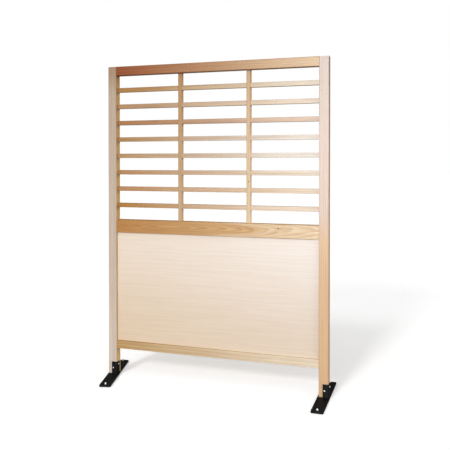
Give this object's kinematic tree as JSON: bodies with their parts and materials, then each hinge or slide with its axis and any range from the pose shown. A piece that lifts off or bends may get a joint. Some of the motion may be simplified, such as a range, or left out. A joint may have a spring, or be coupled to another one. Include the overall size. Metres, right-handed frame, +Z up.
{
  "type": "free-standing lattice partition screen",
  "caption": "Free-standing wooden partition screen: a lattice of slats and muntins over a solid veneered panel, in a frame on black steel feet.",
  "frame": {"origin": "on the floor, midway between the stiles and under the middle of the frame's depth", "axes": "+X to the right seen from the front, -Y towards the front, +Z up"},
  "size_m": [1.2622, 0.43, 1.68],
  "materials": {
    "stile_wood": "greyish beige wood with fine upright grain, satin varnish",
    "rail_wood": "honey-coloured wood with lengthwise grain, satin varnish",
    "figured_wood": "honey-coloured wood with strong arched figure, satin varnish",
    "slat_wood": "warm wood, each slat a little different, satin varnish",
    "muntin_wood": "pale wood with upright grain, satin varnish",
    "panel_veneer": "pale veneer with fine level grain, matt varnish",
    "black_steel": "black powder coat, fine texture, half matt",
    "bright_zinc": "bright zinc-plated steel",
    "black_nylon": "black moulded nylon"
  },
  "bodies": {
    "root": {"left_stile": "stile_wood", "right_stile": "stile_wood", "top_rail": "rail_wood", "mid_rail": "figured_wood", "bottom_rail": "rail_wood", "lower_panel": "panel_veneer", "slat_1": "slat_wood", "slat_2": "slat_wood", "slat_3": "slat_wood", "slat_4": "slat_wood", "slat_5": "slat_wood", "slat_6": "slat_wood", "slat_7": "slat_wood", "slat_8": "slat_wood", "left_muntin": "muntin_wood", "right_muntin": "muntin_wood", "left_base_plate": "black_steel", "right_base_plate": "black_steel", "left_corner_angle": "black_steel", "right_corner_angle": "black_steel", "left_front_screw": "bright_zinc", "right_front_screw": "bright_zinc", "left_side_screw": "bright_zinc", "right_side_screw": "bright_zinc", "left_base_screws": "bright_zinc", "right_base_screws": "bright_zinc", "left_glide_pads": "black_nylon", "right_glide_pads": "black_nylon", "left_glide_studs": "bright_zinc", "right_glide_studs": "bright_zinc", "left_cap_nuts": "bright_zinc", "right_cap_nuts": "bright_zinc"}
  },
  "joints": []
}
